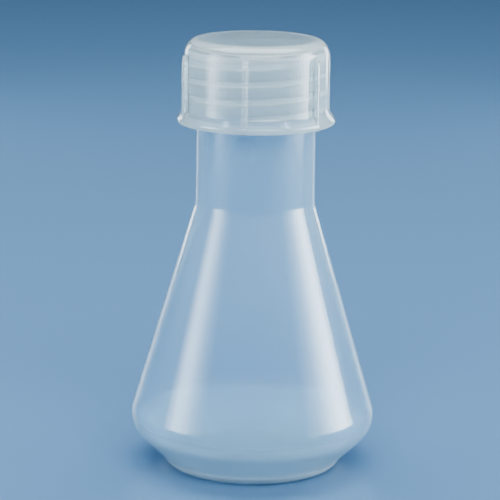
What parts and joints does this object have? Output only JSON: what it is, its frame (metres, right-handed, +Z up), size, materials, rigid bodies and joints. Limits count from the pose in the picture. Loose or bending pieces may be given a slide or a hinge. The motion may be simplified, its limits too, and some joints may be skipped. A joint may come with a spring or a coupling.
{
  "type": "erlenmeyer flask",
  "caption": "Translucent plastic conical laboratory flask with a straight threaded neck, a ribbed screw cap and a sealing liner.",
  "frame": {"origin": "centre of the foot ring, on the surface the flask stands on", "axes": "+Z up along the flask's axis, -Y the front, +X to the right seen from the front"},
  "size_m": [0.0604, 0.0604, 0.1067],
  "materials": {
    "flask_plastic": "natural translucent polypropylene, smooth, slightly milky",
    "cap_plastic": "natural translucent polypropylene, smooth, milkier than the flask",
    "liner_plastic": "soft white polyethylene, matte"
  },
  "bodies": {
    "flask": {"flask_body": "flask_plastic"},
    "liner": {"sealing_liner": "liner_plastic"},
    "cap": {"screw_cap": "cap_plastic"}
  },
  "joints": [
    {"name": "cap_lift", "type": "slide", "parent": "flask", "child": "liner", "axis": [0, 0, 1], "range_m": [0, 0.0211]},
    {"name": "cap_turn", "type": "hinge", "parent": "liner", "child": "cap", "pos_m": [0, 0, 0.09], "axis": [0, 0, 1], "range_deg": [0, 1800]}
  ],
  "couplings": [
    {"joint": "cap_lift", "follows": "cap_turn", "m_per_rad": 0.00066845}
  ]
}
